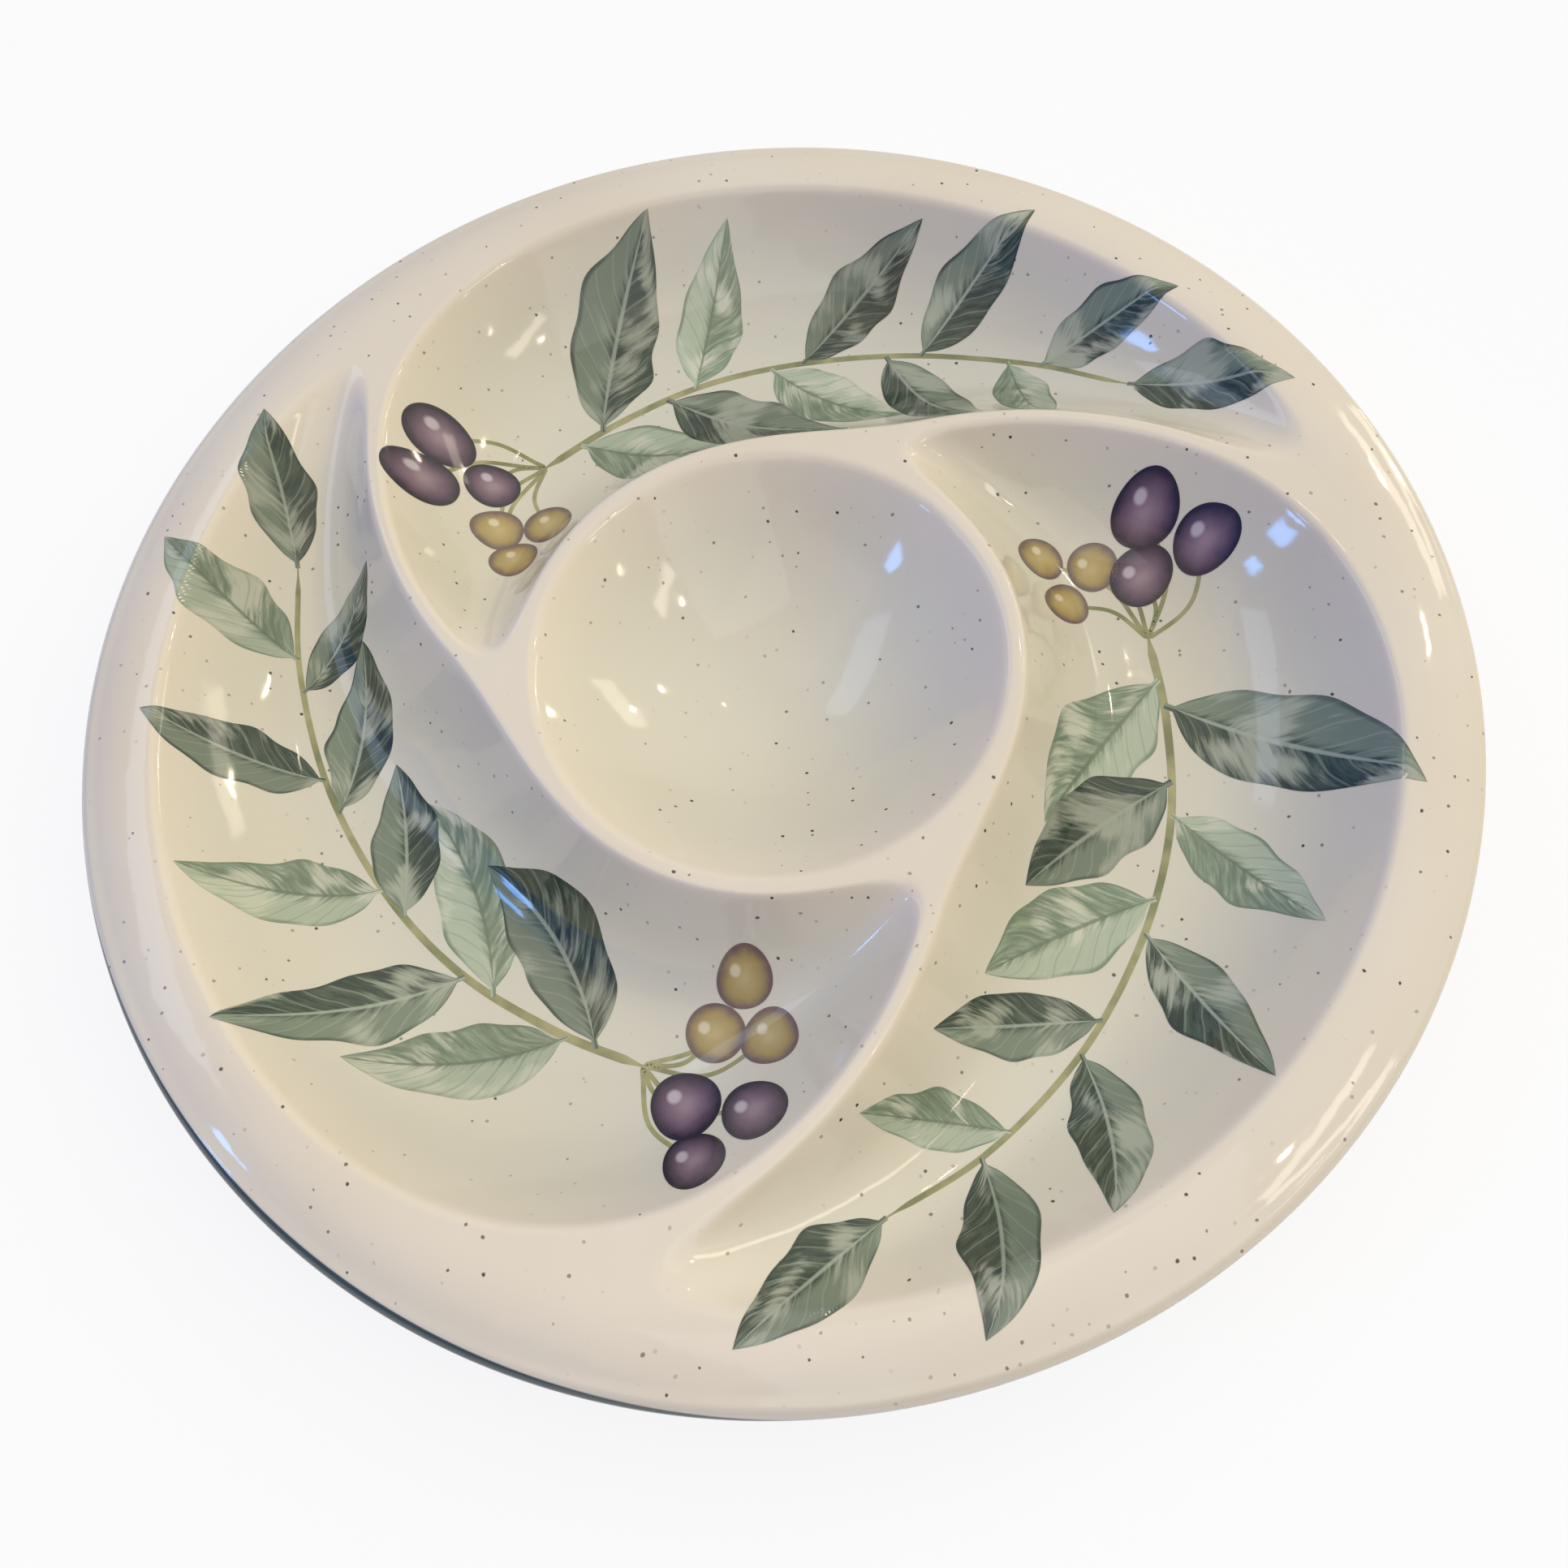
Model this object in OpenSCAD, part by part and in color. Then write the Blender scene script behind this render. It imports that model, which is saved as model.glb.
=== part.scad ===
// Round stoneware serving dish: a dip bowl in the middle, three comma-shaped wells that swirl clockwise
// towards the rim, three soft dividers between them, a broad rim and a foot ring.
// The origin is on the table under the middle of the dish, and +Z is up.

/* [Rim] */
// Diameter of the dish over its lip
dish_d = 330; // [280:1:400]
// Width of the rim, from the edge of the wells to the lip
rim_w = 18; // [12:1:26]
// Fall of the rim's top from its inner edge to its lip
rim_fall = 2.5; // [0:0.1:5]
// Thickness of the rounded lip
lip_t = 7; // [4:0.1:10]

/* [Dip bowl] */
// Diameter of the bowl over the outer edge of its crest
bowl_d = 119; // [100:1:136]
// Width of the crest round the bowl
crest_w = 2; // [1:0.1:6]
// Length over which the crest rolls into the bowl
bowl_roll = 2.5; // [1.5:0.1:14]
// Thickness of the bowl's floor
bowl_floor_t = 6; // [4:0.5:10]

/* [Wells] */
// Depth of the wells below the rim
well_depth = 27; // [18:0.5:36]
// Length of the wall that drops from the rim to a well's floor, seen from above
rim_wall = 42; // [30:1:48]
// Length of the wall that drops from the bowl's crest to a well's floor
bowl_wall = 28; // [20:1:36]
// Length of the wall that drops from a divider to a well's floor
divider_wall = 38; // [30:1:46]
// Share of each wall that rolls over its top edge
edge_roll = 0.06; // [0.04:0.01:0.3]
// How far the walls melt into each other in the corners, as a share of a wall
corner_melt = 0.6; // [0.3:0.01:0.9]

/* [Dividers] */
// Bearing where a divider's inner side leaves the bowl
side_at_bowl = 65; // [58:0.5:72]
// Bearing where a divider's inner side reaches the rim
side_at_rim = 3; // [-6:0.5:8]
// Bulge of a divider's inner side away from a straight line
side_bow = 25; // [18:0.5:28]
// Width of a divider along the bowl's crest
bowl_end_w = 4; // [3:0.5:8]
// Width of a divider at its neck
neck_w = 1.2; // [0.8:0.1:3]
// Width of a divider along the rim
rim_end_w = 12; // [8:0.5:24]

/* [Base] */
// Thickness of the base under the wells
base_t = 8; // [5:0.5:12]
// Distance from the rise of the underside in to the foot ring
foot_inset = 5; // [2:0.5:12]
// Width of the foot ring where it stands
foot_w = 8; // [5:0.5:14]
// Height of the foot ring
foot_h = 5; // [2:0.5:10]
// Slope of the foot ring's two flanks, as a run on each side
foot_flare = 2; // [0.5:0.5:4]
// Gap that the glaze fills where two sections meet on a round seam
seam = 0.1; // [0.05:0.01:0.2]

/* [Hidden] */
$fn = 180;

// The dish repeats three times round its axis
third = 120;
// Steps of a well's surface from the bowl to the rim and from side to side, and of a divider's width
steps_out = 18;
steps_well = 36;
steps_divider = 4;
// Steps along a curved profile
steps_profile = 24;
// How much the steps crowd towards the edges of a surface
crowding = 0.12;

floor_z = foot_h + base_t;
top_z = floor_z + well_depth;
bowl_r = bowl_d / 2;
well_r = dish_d / 2 - rim_w;
cream = [0.87, 0.83, 0.76];
bare_clay = [0.72, 0.62, 0.5];

function polar(r, bearing) = [r * cos(bearing), r * sin(bearing)];
function turned(p, bearing) =
  [p.x * cos(bearing) - p.y * sin(bearing), p.x * sin(bearing) + p.y * cos(bearing)];

// Drop of a wall from 0 to 1: it rolls over its edge, then runs out into the floor as a shallow curve
function roll_part(u, roll) = u * u / (2 * roll) - u * u * u / (3 * roll);
function curve_part(u, roll) = roll_part(roll, roll) + (u - u * u / 2) - (roll - roll * roll / 2);
function drop(u, roll) =
  u <= 0 ? 0 :
  u >= 1 ? 1 :
  (u < roll ? roll_part(u, roll) : curve_part(u, roll)) / curve_part(1, roll);

// The lesser of two values, rounded off where they are alike
function soft_min(a, b) =
  let (near = max(corner_melt - abs(a - b), 0) / corner_melt)
  min(a, b) - near * near * corner_melt / 4;

// Degrees that a length takes up on a circle, and the shorter turn from one bearing to another
function degrees_of(length, r) = length / r * 180 / PI;
function turn_between(from, to) = (to - from + 540) % 360 - 180;

// The inner side of a divider is an arc from the bowl to the rim: its ends, its radius and its centre.
// The centre lies on the side of the well that the divider heads.
inner_side = [polar(bowl_r, side_at_bowl), polar(well_r, side_at_rim)];
inner_half = norm(inner_side[1] - inner_side[0]) / 2;
inner_along = (inner_side[1] - inner_side[0]) / (2 * inner_half);
inward = [inner_along.y, -inner_along.x];
inner_r = (inner_half * inner_half + side_bow * side_bow) / (2 * side_bow);
inner_c = (inner_side[0] + inner_side[1]) / 2 + inward * (inner_r - side_bow);

// A point on an arc at a share of its length
function on_arc(ends, centre, share) =
  let (
    from = atan2(ends[0].y - centre.y, ends[0].x - centre.x),
    to = atan2(ends[1].y - centre.y, ends[1].x - centre.x),
    r = norm(ends[0] - centre)
  )
  centre + polar(r, from + turn_between(from, to) * share);

// The outer side is an arc through three points that stand off the inner side: its ends and its neck,
// which is at this share of the way out
neck_share = 0.45;
outer_side = [
  polar(bowl_r, side_at_bowl + degrees_of(bowl_end_w, bowl_r)),
  polar(well_r, side_at_rim + degrees_of(rim_end_w, well_r))
];
neck = let (p = on_arc(inner_side, inner_c, neck_share))
  p + (p - inner_c) / inner_r * neck_w;
function through(a, b, c) =
  let (
    p = b - a,
    q = c - a,
    area = 2 * (p.x * q.y - p.y * q.x)
  )
  a + [q.y * (p * p) - p.y * (q * q), p.x * (q * q) - q.x * (p * p)] / area;
outer_c = through(outer_side[0], neck, outer_side[1]);
outer_r = norm(neck - outer_c);

// Distance from the inner side of a divider into the well that it heads.
// Past the arc's centre the well only widens.
function from_inner_side(p) =
  let (
    q = p - inner_c,
    ahead = q * inward
  )
  ahead < 0 ? inner_r - norm(q) : inner_r - norm(q - ahead * inward) + ahead;

// Height of the wells' surface over a point of the back well, which runs from the right divider's outer side
// to the left divider's inner side
function well_z(p) =
  let (
    from_bowl = (norm(p) - bowl_r) / bowl_wall,
    from_rim = (well_r - norm(p)) / rim_wall,
    from_tail = (norm(p - outer_c) - outer_r) / divider_wall,
    from_head = from_inner_side(turned(p, -third)) / divider_wall,
    depth = soft_min(soft_min(from_bowl, from_rim), soft_min(from_tail, from_head))
  )
  top_z - well_depth * drop(depth, edge_roll);

// Height of the underside, which follows the wall below the rim
function under_z(r) = top_z - base_t - well_depth * drop((well_r - r) / rim_wall, edge_roll);

// Steps that crowd towards both ends
function eased(share) = share - crowding * sin(360 * share);

// Point at a share of the way between two points, swung round the dish's axis
function swung(a, b, share) =
  let (
    from = atan2(a.y, a.x),
    to = atan2(b.y, b.x)
  )
  polar(norm(a) + (norm(b) - norm(a)) * share, from + turn_between(from, to) * share);

// Closed solid over a grid of plan points, between a top height and the underside
module slab(plan, heights) {
  rows = len(plan) - 1;
  columns = len(plan[0]) - 1;
  wide = columns + 1;
  under = wide * (rows + 1);
  top = [for (i = [0:rows]) for (j = [0:columns]) [plan[i][j].x, plan[i][j].y, heights[i][j]]];
  bottom = [for (p = top) [p.x, p.y, under_z(norm([p.x, p.y]))]];
  cells = [for (i = [0:rows - 1]) for (j = [0:columns - 1]) i * wide + j];
  top_faces = [for (c = cells) each [[c, c + wide, c + wide + 1], [c, c + wide + 1, c + 1]]];
  bottom_faces = [for (f = top_faces) [under + f[2], under + f[1], under + f[0]]];
  edge = concat(
    [for (j = [0:columns - 1]) j],
    [for (i = [0:rows - 1]) i * wide + columns],
    [for (j = [columns:-1:1]) rows * wide + j],
    [for (i = [rows:-1:1]) i * wide]
  );
  side_faces = [for (k = [0:len(edge) - 1])
    let (a = edge[k], b = edge[(k + 1) % len(edge)])
    each [[a, b, under + b], [a, under + b, under + a]]
  ];
  polyhedron(concat(top, bottom), concat(top_faces, bottom_faces, side_faces));
}

// Points from one divider's side to another's, row by row from the bowl to the rim
function plan_between(from_ends, from_c, to_ends, to_c, to_turn, columns) = [
  for (i = [0:steps_out])
  let (
    share = eased(i / steps_out),
    a = on_arc(from_ends, from_c, share),
    b = turned(on_arc(to_ends, to_c, share), to_turn)
  )
  [for (j = [0:columns])
    let (p = swung(a, b, eased(j / columns)))
    i == 0 ? p * (1 + seam / bowl_r) :
    i == steps_out ? p * (1 - seam / well_r) : p
  ]
];

// One well: a dished pan with its sloping walls
module well() {
  plan = plan_between(outer_side, outer_c, inner_side, inner_c, third, steps_well);
  slab(plan, [for (row = plan) [for (p = row) well_z(p)]]);
}

// One divider: the level crest between two wells, narrow at the bowl and broad at the rim
module divider() {
  plan = plan_between(inner_side, inner_c, outer_side, outer_c, 0, steps_divider);
  slab(plan, [for (row = plan) [for (p = row) top_z]]);
}

module rim() {
  lip_r = lip_t / 2;
  lip_x = dish_d / 2 - lip_r;
  lip_z = top_z - rim_fall - lip_r;
  crown = [for (i = [0:steps_profile - 1])
    let (share = i / steps_profile)
    [well_r + (lip_x - well_r) * share, top_z - rim_fall * share * share]
  ];
  lip = [for (i = [0:steps_profile]) [lip_x, lip_z] + polar(lip_r, 90 - 180 * i / steps_profile)];
  color(cream) rotate_extrude() polygon(concat([[well_r, top_z - base_t]], crown, lip));
}

module dip_bowl() {
  reach = bowl_r - crest_w;
  bowl_depth = top_z - foot_h - bowl_floor_t;
  hollow = [for (i = [0:steps_profile])
    let (share = i / steps_profile)
    [reach * (1 - share), top_z - bowl_depth * drop(share, bowl_roll / reach)]
  ];
  color(cream) rotate_extrude() polygon(concat([[0, foot_h], [bowl_r, foot_h], [bowl_r, top_z]], hollow));
}

module foot_ring() {
  foot_r = well_r - rim_wall - foot_inset - foot_flare;
  color(bare_clay) rotate_extrude() polygon([
    [foot_r - foot_w, 0],
    [foot_r, 0],
    [foot_r + foot_flare, foot_h],
    [foot_r - foot_w - foot_flare, foot_h]
  ]);
}

module back_well() { color(cream) well(); }
module left_well() { color(cream) rotate(third) well(); }
module right_well() { color(cream) rotate(-third) well(); }
module right_divider() { color(cream) divider(); }
module left_divider() { color(cream) rotate(third) divider(); }
module front_divider() { color(cream) rotate(-third) divider(); }

rim();
dip_bowl();
back_well();
left_well();
right_well();
right_divider();
left_divider();
front_divider();
foot_ring();
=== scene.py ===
# %% [markdown]
# # A glazed stoneware serving dish
#
# The dish is one piece of fired clay: a dip bowl in the middle, three comma-shaped wells that swirl out to a
# broad rim, and a foot ring below. A speckled cream glaze covers it, and each well has a painted berry sprig.
# The lesson shapes the clay first, then the painting, then the finishes, and last the table and the light.
#
# The CAD model comes in first as a fixed frame, in metres. Its parts are kept, hidden, and their boxes give
# the dish's main sizes.

# %% Load the frame
import math
import random

import bpy
import numpy as np
from mathutils import Matrix, Vector


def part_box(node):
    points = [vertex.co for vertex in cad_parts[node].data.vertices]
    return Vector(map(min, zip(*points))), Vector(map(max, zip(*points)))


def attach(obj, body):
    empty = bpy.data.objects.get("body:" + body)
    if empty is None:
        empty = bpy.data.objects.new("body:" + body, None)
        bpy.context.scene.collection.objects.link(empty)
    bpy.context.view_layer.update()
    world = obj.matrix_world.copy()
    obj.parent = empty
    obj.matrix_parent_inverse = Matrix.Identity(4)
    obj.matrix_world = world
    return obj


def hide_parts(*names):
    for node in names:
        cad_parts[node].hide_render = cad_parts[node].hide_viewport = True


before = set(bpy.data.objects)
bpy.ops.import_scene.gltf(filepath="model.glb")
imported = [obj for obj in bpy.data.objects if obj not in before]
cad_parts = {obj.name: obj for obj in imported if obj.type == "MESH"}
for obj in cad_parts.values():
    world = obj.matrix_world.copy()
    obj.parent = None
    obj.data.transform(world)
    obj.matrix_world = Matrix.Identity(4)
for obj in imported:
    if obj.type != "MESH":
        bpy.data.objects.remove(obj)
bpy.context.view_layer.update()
print("CAD nodes:", ", ".join(sorted(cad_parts)))


# %% Hand tools
def only(piece):
    """Deselects everything, then selects this one piece and makes it active."""
    bpy.ops.object.select_all(action="DESELECT")
    piece.select_set(True)
    bpy.context.view_layer.objects.active = piece


def edit(piece):
    """Goes into edit mode on one piece with all of it selected."""
    only(piece)
    bpy.ops.object.mode_set(mode="EDIT")
    bpy.ops.mesh.select_all(action="SELECT")


def points_of(piece):
    """The piece's vertices as an array with one row for each."""
    flat = np.zeros(len(piece.data.vertices) * 3)
    piece.data.vertices.foreach_get("co", flat)
    return flat.reshape(-1, 3)


def move_points(piece, points):
    """Puts the piece's vertices where the array says."""
    piece.data.vertices.foreach_set("co", points.ravel())
    piece.data.update()


# %% [markdown]
# ## The sizes of the dish
#
# A presser shapes such a dish in a mould, so its form is a rule and not a sketch: the rim and the bowl are
# turned, and each well sinks in from four edges, which are the rim, the bowl's crest and the dividers on its
# two sides. The same sizes drive the CAD model. They are given in metres, and bearings in degrees.

# %% Sizes
MM = 0.001
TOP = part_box("rim")[1].z
LIP_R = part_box("rim")[1].x
FOOT_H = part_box("foot_ring")[1].z
WELL_R = LIP_R - 18 * MM
BOWL_R = 59.5 * MM
CREST_W = 2 * MM
BOWL_ROLL = 2.5 * MM
BOWL_FLOOR = 6 * MM
BASE_T = 8 * MM
WELL_DEPTH = TOP - FOOT_H - BASE_T
RIM_FALL = 2.5 * MM
LIP_T = 7 * MM
RIM_WALL = 42 * MM
BOWL_WALL = 28 * MM
DIVIDER_WALL = 38 * MM
EDGE_ROLL = 0.06
CORNER_MELT = 0.6
THIRD = 120
DIVIDERS = 3
print(f"Dish {2 * LIP_R / MM:.0f} mm across, {TOP / MM:.0f} mm high, wells {WELL_DEPTH / MM:.0f} mm deep")


# %% Points in plan
def polar(radius, bearing):
    """A plan point from its radius and its bearing in degrees."""
    turn = np.radians(bearing)
    return np.stack([radius * np.cos(turn), radius * np.sin(turn)], -1)


def turned(plan, bearing):
    """Plan points turned about the dish's axis."""
    c, s = math.cos(math.radians(bearing)), math.sin(math.radians(bearing))
    return np.stack([plan[..., 0] * c - plan[..., 1] * s, plan[..., 0] * s + plan[..., 1] * c], -1)


def bearing_of(plan):
    """The bearing of plan points in degrees."""
    return np.degrees(np.arctan2(plan[..., 1], plan[..., 0]))


# %% The dividers' inner sides
# The inner side of a divider is an arc from the bowl to the rim that bulges away from a straight line
SIDE_AT_BOWL, SIDE_AT_RIM = 65, 3
SIDE_BOW = 25 * MM
inner_ends = np.array([polar(BOWL_R, SIDE_AT_BOWL), polar(WELL_R, SIDE_AT_RIM)])
half_span = np.linalg.norm(inner_ends[1] - inner_ends[0]) / 2
along = (inner_ends[1] - inner_ends[0]) / (2 * half_span)
inward = np.array([along[1], -along[0]])
inner_r = (half_span**2 + SIDE_BOW**2) / (2 * SIDE_BOW)
inner_c = inner_ends.mean(0) + inward * (inner_r - SIDE_BOW)
print(f"Inner sides: arcs of {inner_r / MM:.0f} mm radius")


# %% The dividers' outer sides
def on_arc(ends, centre, share):
    """A point on an arc at a share of its length."""
    first, last = bearing_of(ends[0] - centre), bearing_of(ends[1] - centre)
    swing = (last - first + 540) % 360 - 180
    return centre + polar(np.linalg.norm(ends[0] - centre), first + swing * share)


# The outer side runs through three points that stand off the inner side: two ends and the neck
BOWL_END_W = 4 * MM
NECK_W = 1.2 * MM
NECK_SHARE = 0.45
RIM_END_W = 12 * MM
outer_ends = np.array([
    polar(BOWL_R, SIDE_AT_BOWL + math.degrees(BOWL_END_W / BOWL_R)),
    polar(WELL_R, SIDE_AT_RIM + math.degrees(RIM_END_W / WELL_R)),
])
neck = on_arc(inner_ends, inner_c, NECK_SHARE)
neck = neck + (neck - inner_c) / inner_r * NECK_W
# The centre of the circle through the three points
to_neck, to_end = neck - outer_ends[0], outer_ends[1] - outer_ends[0]
doubled = 2 * (to_neck[0] * to_end[1] - to_neck[1] * to_end[0])
outer_c = outer_ends[0] + np.array([
    to_end[1] * (to_neck @ to_neck) - to_neck[1] * (to_end @ to_end),
    to_neck[0] * (to_end @ to_end) - to_end[0] * (to_neck @ to_neck),
]) / doubled
outer_r = np.linalg.norm(neck - outer_c)
print(f"Outer sides: arcs of {outer_r / MM:.0f} mm radius")


# %% The rule of a wall
def drop(share, roll):
    """How far a wall has dropped, 0 to 1: it rolls over its edge, then runs out into the floor."""
    u = np.clip(share, 0, 1)

    def rolling(v):
        return v * v / (2 * roll) - v**3 / (3 * roll)

    def running(v):
        return rolling(roll) + (v - v * v / 2) - (roll - roll * roll / 2)

    return np.where(u < roll, rolling(u), running(u)) / running(1.0)


def soft_min(a, b):
    """The lesser of two values, rounded off where they are alike, as glaze softens a corner."""
    near = np.clip(CORNER_MELT - abs(a - b), 0, None) / CORNER_MELT
    return np.minimum(a, b) - near * near * CORNER_MELT / 4


quarters = np.linspace(0, 1, 5)
print("A wall's drop at each quarter of its width:", np.round(drop(quarters, EDGE_ROLL), 2))


# %% The rule of the wells
# The back well lies between these bearings
WELL_BEARINGS = (0, 200)


def from_inner_side(plan):
    """Distance from a divider's inner side into the well that it heads."""
    q = plan - inner_c
    ahead = q @ inward
    round_the_head = inner_r - np.linalg.norm(q, axis=-1)
    past_the_head = inner_r - np.linalg.norm(q - ahead[..., None] * inward, axis=-1) + ahead
    return np.where(ahead < 0, round_the_head, past_the_head)


def from_dividers(plan):
    """How far a plan point is into the back well from the dividers at its tail and head, in wall widths."""
    from_tail = (np.linalg.norm(plan - outer_c, axis=-1) - outer_r) / DIVIDER_WALL
    from_head = from_inner_side(turned(plan, -THIRD)) / DIVIDER_WALL
    return soft_min(from_tail, from_head)


def well_share(plan):
    """How deep into the back well a plan point is: 0 at its edges, 1 where the floor begins."""
    radius = np.linalg.norm(plan, axis=-1)
    sides = soft_min((radius - BOWL_R) / BOWL_WALL, (WELL_R - radius) / RIM_WALL)
    bearing = bearing_of(plan) % 360
    inside = (bearing > WELL_BEARINGS[0]) & (bearing < WELL_BEARINGS[1])
    return np.where(inside, soft_min(sides, from_dividers(plan)), 0)


def well_height(plan):
    """Height of the glaze over plan points between the bowl and the rim."""
    shares = [well_share(turned(plan, -THIRD * k)) for k in range(DIVIDERS)]
    return TOP - WELL_DEPTH * drop(np.max(shares, 0), EDGE_ROLL)


probe = polar(100 * MM, np.array([90, 210]))
print("Depth of two wells in mm:", np.round((TOP - well_height(probe)) / MM, 1))

# %% [markdown]
# ## The dish itself
#
# A potter would turn the plain form with a template and press the wells into it. A sculpted lump could give
# the same look, but its reflections would ripple. So here a circle's vertices are laid along the section of
# the dish, spin turns the section once round, and then the wells are pressed down by the rule above. Before
# pressing, the mesh is twisted along the swirl, so that its lines run with the dividers and crowd at their
# crests. That keeps the long highlights clean.

# %% The section, from the middle of the bowl out over the rim
BOWL_STEPS = 30
WELL_STEPS = 84
RIM_STEPS = 8
LIP_STEPS = 14
# How much the steps crowd at the bowl's crest and at the edges of the wells
BOWL_CROWD = 1.35
EDGE_CROWD = 0.5
bowl_reach = BOWL_R - CREST_W
bowl_depth = TOP - FOOT_H - BOWL_FLOOR
lip_x = LIP_R - LIP_T / 2
lip_z = TOP - RIM_FALL - LIP_T / 2
section = []
for s in 1 - (1 - np.linspace(0, 1, BOWL_STEPS + 1)) ** BOWL_CROWD:
    section.append((bowl_reach * s, TOP - bowl_depth * float(drop(1 - s, BOWL_ROLL / bowl_reach))))
section.append((BOWL_R - CREST_W / 2, TOP))
for s in np.linspace(0, 1, WELL_STEPS + 1):
    crowded = s - EDGE_CROWD * math.sin(math.tau * s) / math.tau
    section.append((BOWL_R + (WELL_R - BOWL_R) * crowded, TOP))
for s in np.linspace(0, 1, RIM_STEPS + 1)[1:-1]:
    section.append((WELL_R + (lip_x - WELL_R) * s, TOP - RIM_FALL * s * s))
for turn in np.radians(np.linspace(90, -90, LIP_STEPS + 1)):
    section.append((lip_x + LIP_T / 2 * math.cos(turn), lip_z + LIP_T / 2 * math.sin(turn)))
print("Points on the upper side:", len(section))

# %% The section, back along the underside
WALL_STEPS = 18
BASE_RINGS_MM = (85, 60, 30, 0)
section.append((WELL_R, TOP - BASE_T))
for s in np.linspace(0, 1, WALL_STEPS + 1)[1:]:
    section.append((WELL_R - RIM_WALL * s, TOP - BASE_T - WELL_DEPTH * float(drop(s, EDGE_ROLL))))
section += [(r * MM, FOOT_H) for r in BASE_RINGS_MM]
print("Points in the section:", len(section))

# %% Lay the section
bpy.ops.object.select_all(action="DESELECT")
bpy.ops.mesh.primitive_circle_add(vertices=len(section), radius=LIP_R)
dish = bpy.context.object
dish.name = dish.data.name = "glazed_dish"
move_points(dish, np.array([(r, 0, z) for r, z in section]))
# The edge that closes the circle would be a wall inside the dish, so it goes
closing = {0, len(section) - 1}
only(dish)
bpy.ops.object.mode_set(mode="EDIT")
bpy.ops.mesh.select_mode(type="EDGE")
bpy.ops.mesh.select_all(action="DESELECT")
bpy.ops.object.mode_set(mode="OBJECT")
for line in dish.data.edges:
    line.select = set(line.vertices) == closing
bpy.ops.object.mode_set(mode="EDIT")
bpy.ops.mesh.delete(type="EDGE")
bpy.ops.mesh.select_mode(type="VERT")
bpy.ops.object.mode_set(mode="OBJECT")
print("Section laid:", len(dish.data.edges), "edges")

# %% Spin the section
LINES_PER_THIRD = 146
WELD = 0.004 * MM
edit(dish)
bpy.ops.mesh.spin(steps=DIVIDERS * LINES_PER_THIRD, angle=math.tau, center=(0, 0, 0), axis=(0, 0, 1))
bpy.ops.mesh.select_all(action="SELECT")
bpy.ops.mesh.remove_doubles(threshold=WELD)
bpy.ops.object.mode_set(mode="OBJECT")
print("Turned dish:", len(dish.data.polygons), "faces")

# %% Twist the mesh along the swirl
CREST_CROWD = 0.72
CREST_POINTS = 60
crest_line = np.array([
    (on_arc(inner_ends, inner_c, s) + on_arc(outer_ends, outer_c, s)) / 2
    for s in np.linspace(0, 1, CREST_POINTS)
])
points = points_of(dish)
radius = np.hypot(points[:, 0], points[:, 1])
lap = (bearing_of(points[:, :2]) % 360) / THIRD
within = lap % 1
within = within - CREST_CROWD * np.sin(math.tau * within) / math.tau
swing = np.interp(radius, np.linalg.norm(crest_line, axis=1), bearing_of(crest_line))
points[:, :2] = polar(radius, (np.floor(lap) + within) * THIRD + swing)
print("Swing of the mesh from bowl to rim:", round(float(swing.max() - swing.min())), "degrees")

# %% Press the wells
LEVEL_SLACK = 0.2 * MM
EDGE_SLACK = 0.01 * MM
level = points[:, 2] > TOP - LEVEL_SLACK
pressed = level & (radius > BOWL_R + EDGE_SLACK) & (radius < WELL_R - EDGE_SLACK)
points[pressed, 2] = well_height(points[pressed, :2])
move_points(dish, points)
edit(dish)
bpy.ops.mesh.normals_make_consistent(inside=False)
bpy.ops.object.mode_set(mode="OBJECT")
bpy.ops.object.shade_smooth()
print("Floor of the wells:", round(float(points[pressed, 2].min()) / MM, 2), "mm above the table")

# %% [markdown]
# ## The foot ring
#
# The ring that the dish stands on is wiped clean of glaze before firing, so it shows bare clay. It is turned
# too: a square's corners are laid on its section, spun, and the edges are then bevelled, as wear rounds them.

# %% Turn the foot ring
FOOT_W = 8 * MM
FOOT_FLARE = 2 * MM
FOOT_LINES = 240
foot_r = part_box("foot_ring")[1].x
foot_section = [
    (foot_r - FOOT_W - 2 * FOOT_FLARE, FOOT_H),
    (foot_r - FOOT_W - FOOT_FLARE, 0),
    (foot_r - FOOT_FLARE, 0),
    (foot_r, FOOT_H),
]
bpy.ops.object.select_all(action="DESELECT")
bpy.ops.mesh.primitive_circle_add(vertices=len(foot_section), radius=foot_r)
foot = bpy.context.object
foot.name = foot.data.name = "bare_foot_ring"
move_points(foot, np.array([(r, 0, z) for r, z in foot_section]))
edit(foot)
bpy.ops.mesh.spin(steps=FOOT_LINES, angle=math.tau, center=(0, 0, 0), axis=(0, 0, 1))
bpy.ops.mesh.select_all(action="SELECT")
bpy.ops.mesh.remove_doubles(threshold=WELD)
bpy.ops.mesh.normals_make_consistent(inside=False)
bpy.ops.object.mode_set(mode="OBJECT")
print("Turned ring:", len(foot.data.polygons), "faces")

# %% Wear its edges
WEAR = 1.2 * MM
WEAR_STEPS = 3
CREASE = math.radians(40)
worn = foot.modifiers.new("worn edges", "BEVEL")
worn.width = WEAR
worn.segments = WEAR_STEPS
worn.limit_method = "ANGLE"
bpy.ops.object.modifier_apply(modifier=worn.name)
bpy.ops.object.shade_smooth_by_angle(angle=CREASE)
print("Foot ring:", len(foot.data.polygons), "faces")

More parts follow.
